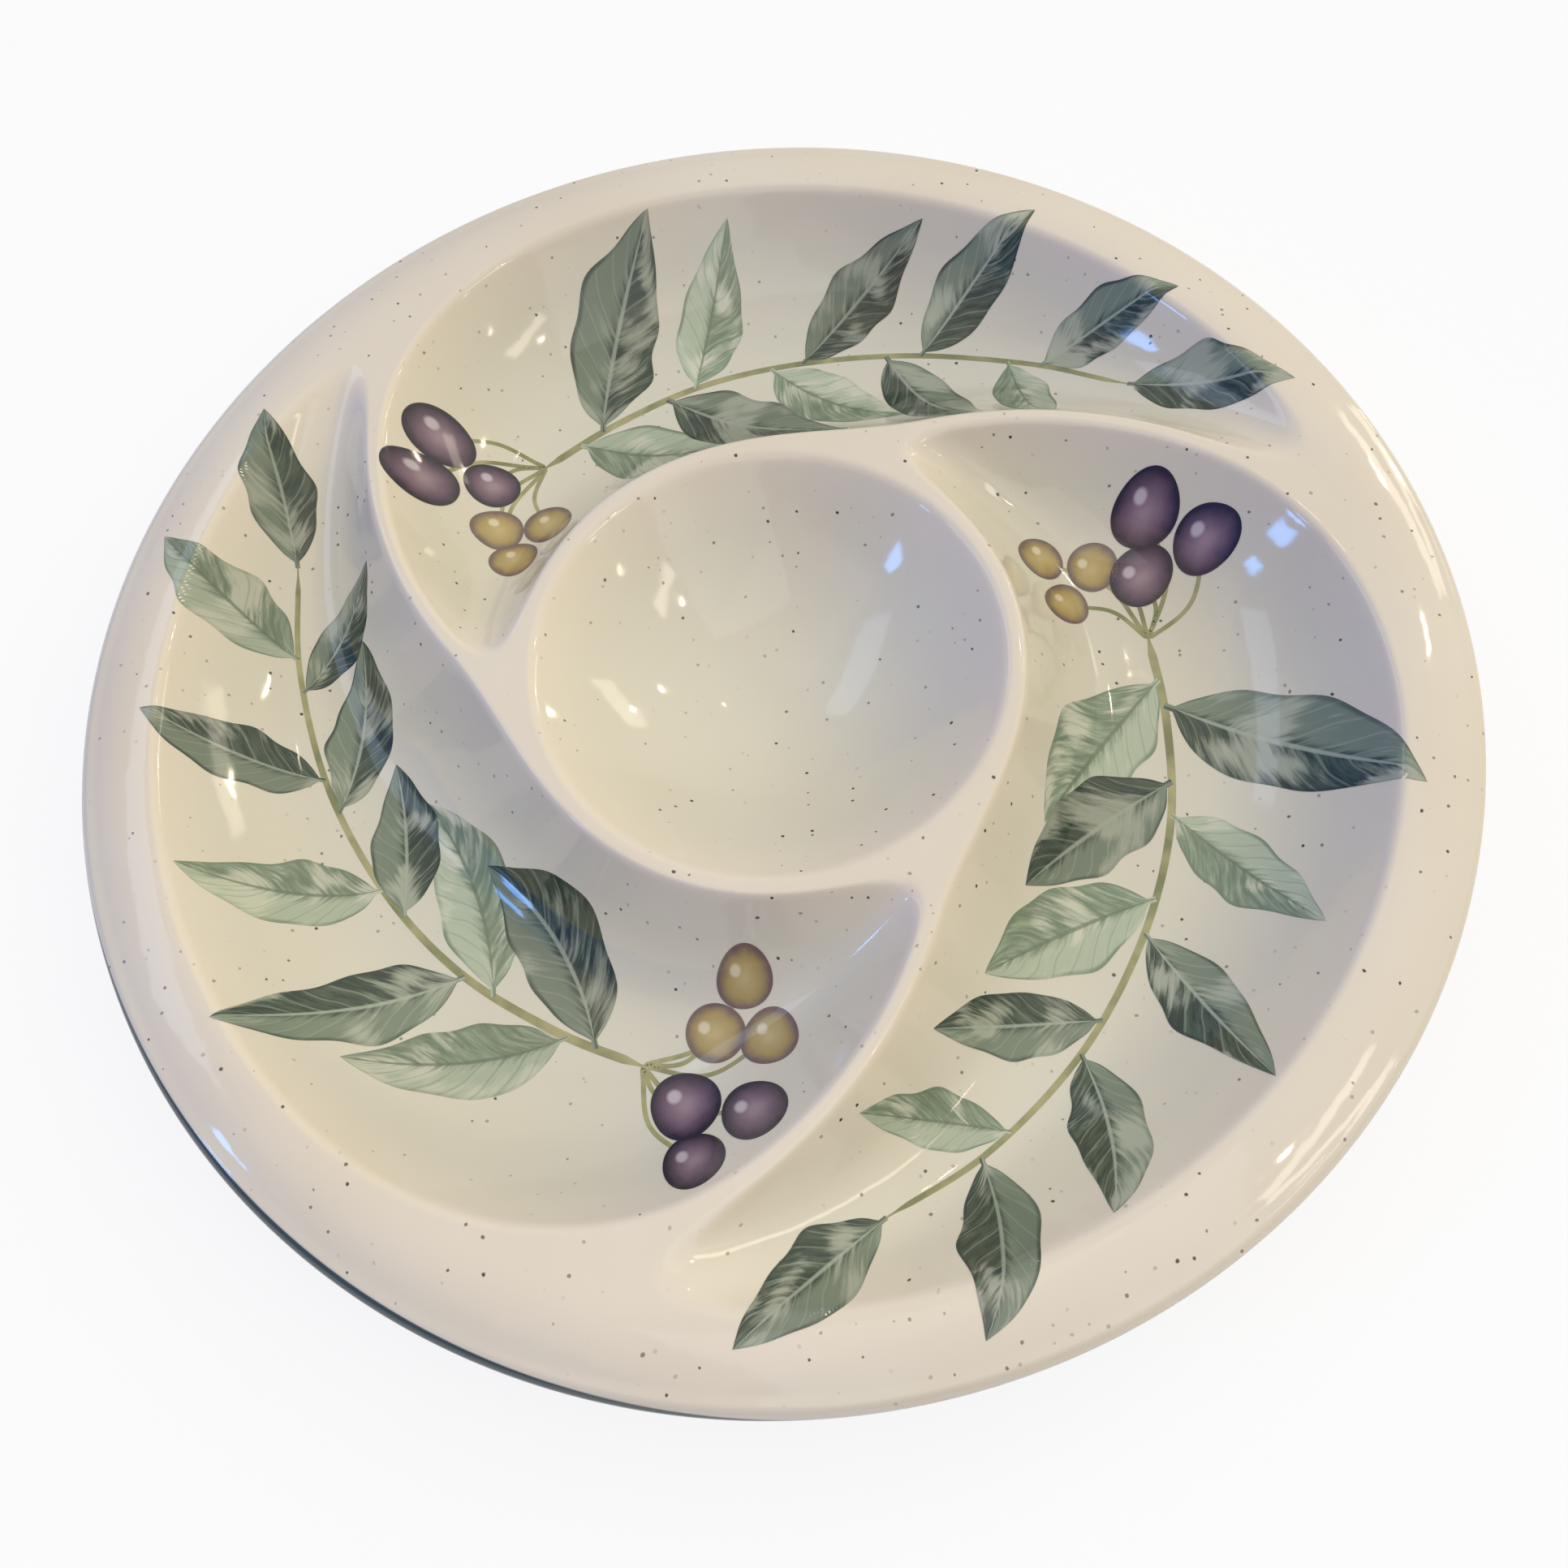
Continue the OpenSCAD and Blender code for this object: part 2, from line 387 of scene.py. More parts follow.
# %% [markdown]
# ## The painted sprigs
#
# Each well carries a hand-painted sprig: a curved stem that runs with the swirl, pairs of oval leaves that
# get smaller towards the tail, and bunches of round berries. The paint is a skin as thin as a hair under the
# same gloss. It could be drawn inside the glaze's own shader, but then every leaf would need its own group of
# nodes. So one leaf, one berry and one line are made as flat grids. Copies of them are placed in plan, all
# strokes of one colour are joined, and Shrinkwrap lays them down on the dish as a transfer is laid. Solidify
# then gives the skin its two faces and closes its edges.

# %% A grid to draw on
POINT_GAP = 0.001


def flat_grid(name, across, lengthwise):
    """A flat grid one unit wide and long. Its UV map gives the place across and along a stroke."""
    bpy.ops.object.select_all(action="DESELECT")
    bpy.ops.mesh.primitive_grid_add(x_subdivisions=across, y_subdivisions=lengthwise, size=1)
    bpy.context.object.name = name
    return bpy.context.object


def close_ends(master):
    """Merges the points of a pointed end."""
    edit(master)
    bpy.ops.mesh.remove_doubles(threshold=POINT_GAP)
    bpy.ops.mesh.normals_make_consistent(inside=False)
    bpy.ops.object.mode_set(mode="OBJECT")


# %% One leaf, one berry and one line to copy
# A bay leaf, in shares of its length and width: a short stalk, its greatest width before the middle, and a
# drawn-out point
STALK = 0.05
STALK_W = 0.07
TIP = 0.995
WIDEST_EARLY = 0.8
FULLNESS = 0.92
leaf_master = flat_grid("leaf_master", 12, 48)
grid = points_of(leaf_master)
share = grid[:, 1] + 0.5
blade = np.clip((share - STALK) / (1 - STALK), 0, 1)
swell = np.sin(np.pi * blade**WIDEST_EARLY) ** FULLNESS + STALK_W * (1 - blade)
grid[:, 0] *= np.where(share > TIP, 0, swell)
grid[:, 1] = share
move_points(leaf_master, grid)
close_ends(leaf_master)

# A berry: the grid is drawn in to a disc, and its UV map is the disc seen from above
berry_master = flat_grid("berry_master", 20, 20)
grid = points_of(berry_master)
square = grid[:, :2] * 2
grid[:, :2] = square * np.sqrt(1 - square[:, ::-1] ** 2 / 2)
move_points(berry_master, grid)
corner = np.zeros(len(berry_master.data.loops), int)
berry_master.data.loops.foreach_get("vertex_index", corner)
berry_master.data.uv_layers[0].data.foreach_set("uv", (grid[corner, :2] / 2 + 0.5).ravel())

# A line: a strip that starts and ends narrow
LINE_TAPER = 30
LINE_END_W = 0.3
line_master = flat_grid("line_master", 2, 90)
grid = points_of(line_master)
grid[:, 1] += 0.5
grid[:, 0] *= np.clip(LINE_TAPER * grid[:, 1] * (1 - grid[:, 1]), LINE_END_W, 1)
move_points(line_master, grid)
masters = [leaf_master, berry_master, line_master]
print("Masters:", [(m.name, len(m.data.polygons)) for m in masters])

# %% Strokes in plan
DRAW_HEIGHT = TOP + 10 * MM
hand = random.Random(11)
tremor = random.Random(5)
strokes = {"dark_leaves": [], "sage_leaves": [], "stems": [], "plum_berries": [], "ochre_berries": []}


def place_stroke(kind, master, plan):
    """Copies a master to plan points and notes how light the brush was."""
    only(master)
    bpy.ops.object.duplicate()
    stroke = bpy.context.object
    move_points(stroke, np.column_stack([plan, np.full(len(plan), DRAW_HEIGHT)]))
    tone = stroke.data.attributes.new("brush_tone", "FLOAT", "POINT")
    tone.data.foreach_set("value", np.full(len(plan), hand.random(), np.float32))
    strokes[kind].append(stroke)


# %% Paths for the brush
GLANCE = 0.01
BEND_POINTS = 60
BEND_FROM = 0.3


def follow(path, shares):
    """Points and side directions at shares of the length of a path."""
    knots = np.concatenate([[0], np.cumsum(np.linalg.norm(np.diff(path, axis=0), axis=1))])
    at, before, after = (
        np.stack([np.interp(np.clip(shares + d, 0, 1) * knots[-1], knots, path[:, k]) for k in (0, 1)], 1)
        for d in (0, -GLANCE, GLANCE)
    )
    go = (after - before) / np.linalg.norm(after - before, axis=1, keepdims=True)
    return at, np.stack([-go[:, 1], go[:, 0]], 1)


def along_path(grid, path, first_width, last_width):
    """Plan points of a stroke's grid when it is laid along a path."""
    at, side = follow(path, grid[:, 1])
    width = first_width + (last_width - first_width) * grid[:, 1]
    return at + side * (grid[:, 0] * width)[:, None]


def bending(base, heading, length, bend):
    """A path from a point that turns evenly by bend over its length."""
    turn = np.radians(heading + bend * (np.linspace(0, 1, BEND_POINTS) - BEND_FROM))
    steps = np.stack([np.cos(turn), np.sin(turn)], 1) * length / (BEND_POINTS - 1)
    return base + np.vstack([[0, 0], np.cumsum(steps[:-1], 0)])


def smooth_path(knots, count):
    """A smooth path through plan points."""
    knots = np.array(knots)
    padded = np.vstack([2 * knots[0] - knots[1], knots, 2 * knots[-1] - knots[-2]])
    path = []
    for t in np.linspace(0, len(knots) - 1 - 1e-9, count):
        a, b, c, d = padded[int(t):int(t) + 4]
        u = t - int(t)
        path.append(b + 0.5 * u * (c - a + u * (2 * a - 5 * b + 4 * c - d + u * (3 * (b - c) + d - a))))
    return np.array(path)


# %% A leaf that fits its well
LEAF_SIDES = (1, -1)
SWELL_WAVES = (1, 2, 3.5)
SWELL = (0.02, 0.07)
# The distance from the dividers is in wall widths
CLEAR_OF_DIVIDERS = 0.05
CLEAR_OF_BOWL = 2 * MM
CLEAR_OF_LIP = 8 * MM
FIT_TRIES = 14
SHORTER, NARROWER = 0.94, 0.95


def loose(master):
    """A master's points with each side swelling and thinning by itself, as a loose brush leaves it."""
    grid = points_of(master)
    for side in LEAF_SIDES:
        half = grid[:, 0] * side > 0
        for waves in SWELL_WAVES:
            swell = tremor.uniform(*SWELL) * np.sin(math.tau * (waves * grid[half, 1] + tremor.random()))
            grid[half, 0] *= 1 + swell
    return grid


def fits(plan, well):
    """Whether a stroke stays clear of the dividers, the bowl and the lip."""
    radius = np.linalg.norm(plan, axis=1)
    clear = from_dividers(turned(plan, -THIRD * well)).min() > CLEAR_OF_DIVIDERS
    return clear and radius.min() > BOWL_R + CLEAR_OF_BOWL and radius.max() < LIP_R - CLEAR_OF_LIP


def add_leaf(kind, base, heading, length, width, bend, well):
    """A leaf from a point on the stem, made shorter until it fits its well."""
    grid = loose(leaf_master)
    for _ in range(FIT_TRIES):
        plan = along_path(grid, bending(base, heading, length, bend), width, width)
        if fits(plan, well):
            break
        length, width = length * SHORTER, width * NARROWER
    place_stroke(kind, leaf_master, plan)


# %% A bunch of berries
BERRIES = 3
BERRY_GAP = 0.6
BERRY_SIZE = (0.9, 1.1)
BERRY_SQUASH = (0.92, 1.0)
BERRY_WAVES = (2, 3)
BERRY_UNEVEN = (0.01, 0.04)
STALK_SAG = np.array([0.18, -0.18])
STALK_POINTS = 30
STALK_WIDTHS = (1.2 * MM, 1.0 * MM)


def add_bunch(kind, stem_point, centre, across):
    """Three berries about a point, each on its own stalk."""
    first = hand.uniform(0, 360)
    for k in range(BERRIES):
        middle = centre + polar(across * BERRY_GAP, first + THIRD * k + hand.uniform(-12, 12))
        size = across * hand.uniform(*BERRY_SIZE)
        sag = (middle - stem_point)[::-1] * STALK_SAG
        stalk = smooth_path([stem_point, (stem_point + middle) / 2 + sag, middle], STALK_POINTS)
        place_stroke("stems", line_master, along_path(points_of(line_master), stalk, *STALK_WIDTHS))
        disc = points_of(berry_master)[:, :2] * [size / 2, size / 2 * hand.uniform(*BERRY_SQUASH)]
        round_it = np.radians(bearing_of(disc))
        for waves in BERRY_WAVES:
            uneven = tremor.uniform(*BERRY_UNEVEN) * np.sin(waves * round_it + tremor.uniform(0, math.tau))
            disc *= 1 + uneven[:, None]
        place_stroke(kind, berry_master, middle + turned(disc, hand.uniform(-25, 25)))


# %% One sprig in each well
# The stem's run and the bunches' places as radius in mm and bearing, and then the berries' size in mm
STEM_RUN = [(97, 127), (98, 113), (102, 97), (107, 81), (114, 65), (122, 50), (129, 38)]
BUNCHES = [("plum_berries", 108, 138, 15), ("ochre_berries", 82, 140, 13)]
STEM_POINTS = 120
STEM_WIDTHS = (2.2 * MM, 1.2 * MM)
# Pairs of leaves stand at every 21st point of the stem. One leaf of a pair sits a little behind the other
PAIRS = 5
FIRST_PAIR, PAIR_STEP, STAGGER = 14, 21, 3
ALL_DARK_PAIR = 3
LEAF_MM, LESS_EACH_PAIR_MM = 52, 3.5
END_LEAF = (40 * MM, 15 * MM)
for well in range(DIVIDERS):
    shift = THIRD * well + hand.uniform(-2, 2)
    stem = smooth_path([polar(r * MM, b + shift) for r, b in STEM_RUN], STEM_POINTS)
    place_stroke("stems", line_master, along_path(points_of(line_master), stem, *STEM_WIDTHS))
    for k in range(PAIRS):
        spot = FIRST_PAIR + PAIR_STEP * k
        ahead = math.degrees(math.atan2(*(stem[spot + 1] - stem[spot])[::-1]))
        for side in LEAF_SIDES:
            length = (LEAF_MM - LESS_EACH_PAIR_MM * k + hand.uniform(-7, 7)) * MM
            dark = (k + well + (side > 0)) % 2 or k == ALL_DARK_PAIR
            kind = "dark_leaves" if dark else "sage_leaves"
            base = stem[spot + STAGGER * side]
            spread = side * hand.uniform(34, 58)
            width = length * hand.uniform(0.34, 0.42)
            bend = -side * hand.uniform(6, 44)
            add_leaf(kind, base, ahead + spread, length, width, bend, well)
    add_leaf("dark_leaves", stem[-1], ahead, *END_LEAF, hand.uniform(-12, 12), well)
    for kind, radius, bearing, size in BUNCHES:
        add_bunch(kind, stem[1], polar(radius * MM, bearing + shift), size * MM)
print("Strokes:", {kind: len(made) for kind, made in strokes.items()})

# %% Lay the paint on the dish
# Colours that cross lie at their own heights, so a thicker one shows on top
SKIN_MM = {
    "stems": 0.10, "sage_leaves": 0.14, "dark_leaves": 0.20, "ochre_berries": 0.24, "plum_berries": 0.24,
}
painted = {}
for kind, made in strokes.items():
    only(made[0])
    for stroke in made:
        stroke.select_set(True)
    bpy.ops.object.join()
    coat = bpy.context.object
    coat.name = coat.data.name = "painted_" + kind
    lay = coat.modifiers.new("lay down", "SHRINKWRAP")
    lay.target = dish
    lay.wrap_method = "PROJECT"
    lay.use_project_z = True
    lay.use_negative_direction = True
    lay.use_positive_direction = False
    bpy.ops.object.modifier_apply(modifier=lay.name)
    skin = coat.modifiers.new("skin", "SOLIDIFY")
    skin.thickness = SKIN_MM[kind] * MM
    skin.offset = 0
    bpy.ops.object.modifier_apply(modifier=skin.name)
    bpy.ops.object.shade_smooth_by_angle(angle=CREASE)
    painted[kind] = coat
    print(coat.name, len(coat.data.polygons), "faces")
bpy.ops.object.select_all(action="DESELECT")
for master in masters:
    master.select_set(True)
bpy.ops.object.delete()

# %% [markdown]
# ## Finishes
#
# A colour is written as a web colour, the way a paint chart gives it, and one function turns it into the
# linear values that Blender mixes. One more function adds a node with its settings and its links.

# %% Colour and node helpers
def paint(hex_colour):
    """A web colour such as DCD2C0 as linear red, green, blue and alpha."""
    parts = [int(hex_colour[i:i + 2], 16) / 255 for i in (0, 2, 4)]
    return [p / 12.92 if p <= 0.04045 else ((p + 0.055) / 1.055) ** 2.4 for p in parts] + [1.0]


def add(tree, kind, inputs=(), out=0, stops=(), **settings):
    """Adds a node with its settings and links, and hands back one of its outputs.

    Inputs are values or other nodes' outputs, in the order of the sockets or by number or name.
    """
    node = tree.nodes.new("ShaderNode" + kind)
    for key, value in settings.items():
        setattr(node, key, value)
    for key, value in inputs.items() if isinstance(inputs, dict) else enumerate(inputs):
        if isinstance(value, bpy.types.NodeSocket):
            tree.links.new(value, node.inputs[key])
        else:
            node.inputs[key].default_value = value
    for k, (position, colour) in enumerate(stops):
        stop = node.color_ramp.elements[k] if k < 2 else node.color_ramp.elements.new(position)
        stop.position = position
        stop.color = colour
    return node.outputs[out]


def new_finish(name, roughness, ior):
    """An empty material with its tree and its shader."""
    material = bpy.data.materials.new(name)
    material.use_nodes = True
    shader = material.node_tree.nodes["Principled BSDF"]
    shader.inputs["Roughness"].default_value = roughness
    shader.inputs["IOR"].default_value = ior
    return material, material.node_tree, shader


print("The rim's cream in linear values:", [round(v, 3) for v in paint("E5DDCC")])

# %% [markdown]
# ### Speckled cream glaze
#
# A glossy feldspar glaze over an iron-bearing stoneware: the cream is set lighter and warmer up on the rim,
# and a little darker and greyer towards the floors of the wells. Iron grains bleed through it as small dark
# specks, most of them pale because they lie deep. The specks come from cells a few millimetres apart in
# space. A speck shows only where the surface cuts close to a cell's centre, so their sizes differ by
# themselves, and each cell's own random value sets how dark its speck is.

# %% Cream glaze: colour
# Object coordinates are in metres, so a pattern's scale is 1000 over its size in millimetres
CLOUD_MM = 60
# The glaze and all paint under it share one smooth coat of glass
GLOSS = 0.07
GLASS_IOR = 1.52
cream, tree, shader = new_finish("speckled cream stoneware glaze", GLOSS, GLASS_IOR)
place = add(tree, "TexCoord", out="Object")
height = add(tree, "SeparateXYZ", (place,), out="Z")
# The cream's colour goes by height: lighter and warmer on the rim, darker and greyer low in the wells
height_share = add(tree, "MapRange", (height, FOOT_H + BASE_T, TOP))
cream_by_height = add(
    tree, "ValToRGB", (height_share,),
    stops=[(0.0, paint("D8D6C6")), (1.0, paint("E5DDCC")), (0.55, paint("D9D6C6"))],
)
cloud = add(tree, "TexNoise", {"Vector": place, "Scale": 1000 / CLOUD_MM, "Detail": 2.0})
cloudy = add(
    tree, "Mix", {0: cloud, 6: cream_by_height, 7: paint("F6F0E6")}, out=2,
    data_type="RGBA", blend_type="MULTIPLY",
)
print("Clouds in the cream about", CLOUD_MM, "mm apart")

# %% Cream glaze: specks
SPECK_CELL_MM = 3.5
SPECK_MM = 0.52
WOBBLE_MM = 1.5
WOBBLE = 0.0006
wobble = add(tree, "TexNoise", {"Vector": place, "Scale": 1000 / WOBBLE_MM, "Detail": 1.0}, out="Color")
shaken = add(tree, "Mix", {0: WOBBLE, 4: place, 5: wobble}, out=1, data_type="VECTOR")
cells = add(tree, "TexVoronoi", {"Vector": shaken, "Scale": 1000 / SPECK_CELL_MM}, out="Distance")
lot = add(tree, "SeparateXYZ", (cells.node.outputs["Color"],))
grain = add(
    tree, "MapRange", (cells, SPECK_MM / SPECK_CELL_MM, 0.6 * SPECK_MM / SPECK_CELL_MM, 0.0, 1.0),
    interpolation_type="SMOOTHSTEP",
)
patchy = add(tree, "Math", (cloud, 0.7, lot), operation="MULTIPLY_ADD")
near = add(tree, "MapRange", (patchy, 0.6, 1.3, 0.0, 1.0))
depth = add(tree, "Math", (near, 1.6), operation="POWER")
dark = add(tree, "Math", (grain, depth), operation="MULTIPLY")
speckled = add(tree, "Mix", {0: dark, 6: cloudy, 7: paint("454035")}, out=2, data_type="RGBA")
print("Specks up to", 2 * SPECK_MM, "mm across")

# %% [markdown]
# A dark line is drawn on the edge of the lip, centred a little off the dish's own centre, so that from above
# it shows on one side only and tapers to nothing.

# %% Cream glaze: the line on the lip
LINE_BEARING = 228
LINE_SHIFT = 9.5 * MM
LINE_R = LIP_R + 7.4 * MM
LINE_SOFT = 0.15 * MM
flat_place = add(tree, "VectorMath", (place, (1, 1, 0)), operation="MULTIPLY")
off_centre = add(tree, "VectorMath", (flat_place, [*polar(LINE_SHIFT, LINE_BEARING), 0]))
from_line_centre = add(tree, "VectorMath", (off_centre,), out="Value", operation="LENGTH")
line = add(tree, "MapRange", (from_line_centre, LINE_R - LINE_SOFT, LINE_R + LINE_SOFT))
# The dark line on the lip: dark where the off-centre distance passes the line's radius
with_lip_line = add(tree, "Mix", {0: line, 6: speckled, 7: paint("47534D")}, out=2, data_type="RGBA")
tree.links.new(with_lip_line, shader.inputs["Base Color"])
print("Line on the lip at", LINE_BEARING, "degrees")

# %% Cream glaze: its uneven surface
WAVE_MM = 22
RIPPLE_MM = 7
RIPPLE_SHARE = 0.25
wave = add(tree, "TexNoise", {"Vector": place, "Scale": 1000 / WAVE_MM, "Detail": 1.0})
ripple = add(tree, "TexNoise", {"Vector": place, "Scale": 1000 / RIPPLE_MM, "Detail": 1.0})
uneven = add(tree, "Math", (ripple, RIPPLE_SHARE, wave), operation="MULTIPLY_ADD")
lumpy = add(tree, "Bump", {"Height": uneven, "Strength": 0.4, "Distance": 0.6 * MM})
tree.links.new(lumpy, shader.inputs["Normal"])
dish.data.materials.append(cream)
print("Finish:", cream.name, len(tree.nodes), "nodes")

# %% [markdown]
# ### Bare clay
#
# Unglazed stoneware is matt and buff, with fine sand in it.

# %% Bare clay
# Real sand is finer. It is drawn coarser here, so that it shows
SAND_MM = 0.8
clay, tree, shader = new_finish("bare buff stoneware", 0.85, 1.5)
place = add(tree, "TexCoord", out="Object")
sand = add(tree, "TexNoise", {"Vector": place, "Scale": 1000 / SAND_MM, "Detail": 3.0})
buff = add(
    tree, "ValToRGB", (sand,),
    stops=[(0.3, paint("A98F6C")), (0.75, paint("CDB793")), (0.55, paint("BFA681"))],
)
tree.links.new(buff, shader.inputs["Base Color"])
gritty = add(tree, "Bump", {"Height": sand, "Strength": 0.4, "Distance": 0.2 * MM})
tree.links.new(gritty, shader.inputs["Normal"])
foot.data.materials.append(clay)
print("Finish:", clay.name, len(tree.nodes), "nodes")

# %% [markdown]
# ### Brushed underglaze colours
#
# Underglaze is thinned oxide: where the brush was loaded it is dense and dark, and where it ran dry the cream
# shows through. A leaf is filled with short strokes pulled from the midrib to the edge, so its streaks run
# with the side veins, one half is lighter, and a fine dark line closes the edge. A stem is one thin stroke
# that is denser in places, and a berry is dabbed round. All of it lies under the same gloss.

# %% Leaf paints
# The side veins' slant, wander and gap in shares of a leaf's length, and how many brush hairs lie along it
VEIN_SLANT = 0.42
VEIN_WANDER = 0.12
VEIN_GAP = 0.055
HAIRS = 26.0


def leaf_paint(name, deep, middle, light, thin, vein):
    """Leaf paint: strokes along the side veins, a thin wash in places, lines for the ribs and the edge."""
    material, tree, shader = new_finish(name, GLOSS, GLASS_IOR)
    uv = add(tree, "TexCoord", out="UV")
    tone = add(tree, "Attribute", out="Fac", attribute_name="brush_tone")
    leaf_turn = add(tree, "Math", (tone, 40.0), operation="MULTIPLY")
    across = add(tree, "SeparateXYZ", (uv,), out="X")
    ahead = across.node.outputs["Y"]
    off_rib = add(tree, "Math", (across, 0.5), operation="SUBTRACT")
    from_rib = add(tree, "Math", (off_rib,), operation="ABSOLUTE")
    # The brush's load changes slowly over a leaf, and differs from leaf to leaf
    drawn_out = add(tree, "Math", (ahead, 2.4), operation="MULTIPLY")
    load_at = add(tree, "CombineXYZ", (off_rib, drawn_out, leaf_turn))
    wash = add(tree, "TexNoise", {"Vector": load_at, "Scale": 1.5, "Detail": 1.0})
    # The strokes run with the side veins, which wander as a hand does
    straight = add(tree, "Math", (from_rib, -VEIN_SLANT, ahead), operation="MULTIPLY_ADD")
    side_vein = add(tree, "Math", (wash, VEIN_WANDER, straight), operation="MULTIPLY_ADD")
    strokes_at = add(tree, "CombineXYZ", (
        add(tree, "Math", (side_vein, HAIRS), operation="MULTIPLY"),
        add(tree, "Math", (off_rib, 3.0), operation="MULTIPLY"),
        leaf_turn,
    ))
    hairs = add(tree, "TexNoise", {"Vector": strokes_at, "Scale": 1.0, "Detail": 4.0, "Roughness": 0.6})
    streak = add(tree, "MapRange", (hairs, 0.35, 0.68, 0.0, 1.0), interpolation_type="SMOOTHSTEP")
    body = add(tree, "Mix", {0: streak, 6: paint(deep), 7: paint(middle)}, out=2, data_type="RGBA")
    # One half is lighter, and where the brush ran dry the cream shows through
    ragged = add(tree, "Math", (hairs, 0.3, off_rib), operation="MULTIPLY_ADD")
    half = add(tree, "MapRange", (ragged, 0.11, 0.3, 0.0, 0.8), interpolation_type="SMOOTHSTEP")
    dry = add(tree, "Math", (hairs, 0.45, wash), operation="MULTIPLY_ADD")
    worn = add(tree, "MapRange", (dry, 0.72, 0.92, 0.0, 0.75), interpolation_type="SMOOTHSTEP")
    # Lines for the side veins, the midrib and the edge
    to_vein = add(tree, "Math", (side_vein, VEIN_GAP), operation="PINGPONG")
    line = add(tree, "MapRange", (to_vein, 0.009, 0.003, 0.0, 0.28), interpolation_type="SMOOTHSTEP")
    rib = add(tree, "MapRange", (from_rib, 0.035, 0.012, 0.0, 0.75), interpolation_type="SMOOTHSTEP")
    pressure = add(tree, "MapRange", (wash, 0.38, 0.6, 0.85, 0.15))
    edge = add(tree, "MapRange", (from_rib, 0.43, 0.48, 0.0, 1.0), interpolation_type="SMOOTHSTEP")
    outline = add(tree, "Math", (edge, pressure), operation="MULTIPLY")
    for cover, colour in ((half, light), (worn, thin), (line, vein), (rib, vein), (outline, deep)):
        body = add(tree, "Mix", {0: cover, 6: body, 7: paint(colour)}, out=2, data_type="RGBA")
    load = add(tree, "MapRange", (tone, 0.0, 1.0, 0.88, 1.14))
    tinted = add(tree, "HueSaturation", {"Color": body, "Value": load})
    tree.links.new(tinted, shader.inputs["Base Color"])
    print("Finish:", name, len(tree.nodes), "nodes")
    return material


painted["dark_leaves"].data.materials.append(
    leaf_paint("brushed dark green underglaze", "313C33", "4F5D4B", "7F8B76", "AFB39E", "A3AD9A")
)
painted["sage_leaves"].data.materials.append(
    leaf_paint("brushed sage underglaze", "6F7E66", "94A288", "B2BCA3", "CCCCB6", "66745C")
)

# %% Stem paint
# Thin moss green, denser in dabs where the brush was pressed
DAB_MM = 9
moss, tree, shader = new_finish("brushed moss underglaze", GLOSS, GLASS_IOR)
place = add(tree, "TexCoord", out="Object")
dabs = add(tree, "TexNoise", {"Vector": place, "Scale": 1000 / DAB_MM, "Detail": 2.0})
patchy = add(tree, "MapRange", (dabs, 0.35, 0.65))
mossy = add(tree, "Mix", {0: patchy, 6: paint("7B7F55"), 7: paint("A9A576")}, out=2, data_type="RGBA")
tree.links.new(mossy, shader.inputs["Base Color"])
painted["stems"].data.materials.append(moss)
print("Finish:", moss.name, len(tree.nodes), "nodes")


# %% Berry paints
# Places on the disc seen from above, in shares of its width
BERRY_MIDDLE = (0.5, 0.5, 0)
BERRY_TOUCH = (0.36, 0.66, 0)


def berry_paint(name, heart, flesh, skin, shine):
    """Berry paint: a pale heart, a darker skin, and one pale touch of the brush."""
    material, tree, shader = new_finish(name, GLOSS, GLASS_IOR)
    uv = add(tree, "TexCoord", out="UV")
    tone = add(tree, "Attribute", out="Fac", attribute_name="brush_tone")
    swirl = add(
        tree, "TexNoise", {"Vector": uv, "W": tone, "Scale": 4.0, "Detail": 3.0}, noise_dimensions="4D",
    )
    reach = add(tree, "VectorMath", (uv, BERRY_MIDDLE), out="Value", operation="DISTANCE")
    uneven = add(tree, "Math", (swirl, 0.16, reach), operation="MULTIPLY_ADD")
    body = add(
        tree, "ValToRGB", (uneven,),
        stops=[(0.12, paint(heart)), (0.54, paint(skin)), (0.40, paint(flesh))],
    )
    to_touch = add(tree, "VectorMath", (uv, BERRY_TOUCH), out="Value", operation="DISTANCE")
    touch = add(tree, "MapRange", (to_touch, 0.13, 0.06, 0.0, 0.7), interpolation_type="SMOOTHSTEP")
    body = add(tree, "Mix", {0: touch, 6: body, 7: paint(shine)}, out=2, data_type="RGBA")
    tree.links.new(body, shader.inputs["Base Color"])
    print("Finish:", name, len(tree.nodes), "nodes")
    return material


painted["plum_berries"].data.materials.append(
    berry_paint("brushed plum underglaze", "98808A", "655060", "332B35", "CFC6CB")
)
painted["ochre_berries"].data.materials.append(
    berry_paint("brushed ochre underglaze", "BFAC76", "A8935C", "75635A", "E2D8B8")
)

# %% Each piece stands for its CAD nodes
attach(dish, "root")
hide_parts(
    "rim", "dip_bowl", "back_well", "left_well", "right_well",
    "right_divider", "left_divider", "front_divider",
)
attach(foot, "root")
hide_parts("foot_ring")
for coat in painted.values():
    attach(coat, "root")
print("Pieces:", [dish.name, foot.name] + [coat.name for coat in painted.values()])

# %% [markdown]
# ## Table, light and camera
#
# The picture has a white ground with a faint soft shadow. A large pale floor gives both: to the camera most
# of it is plain white, and the rest takes the dish's shadow.

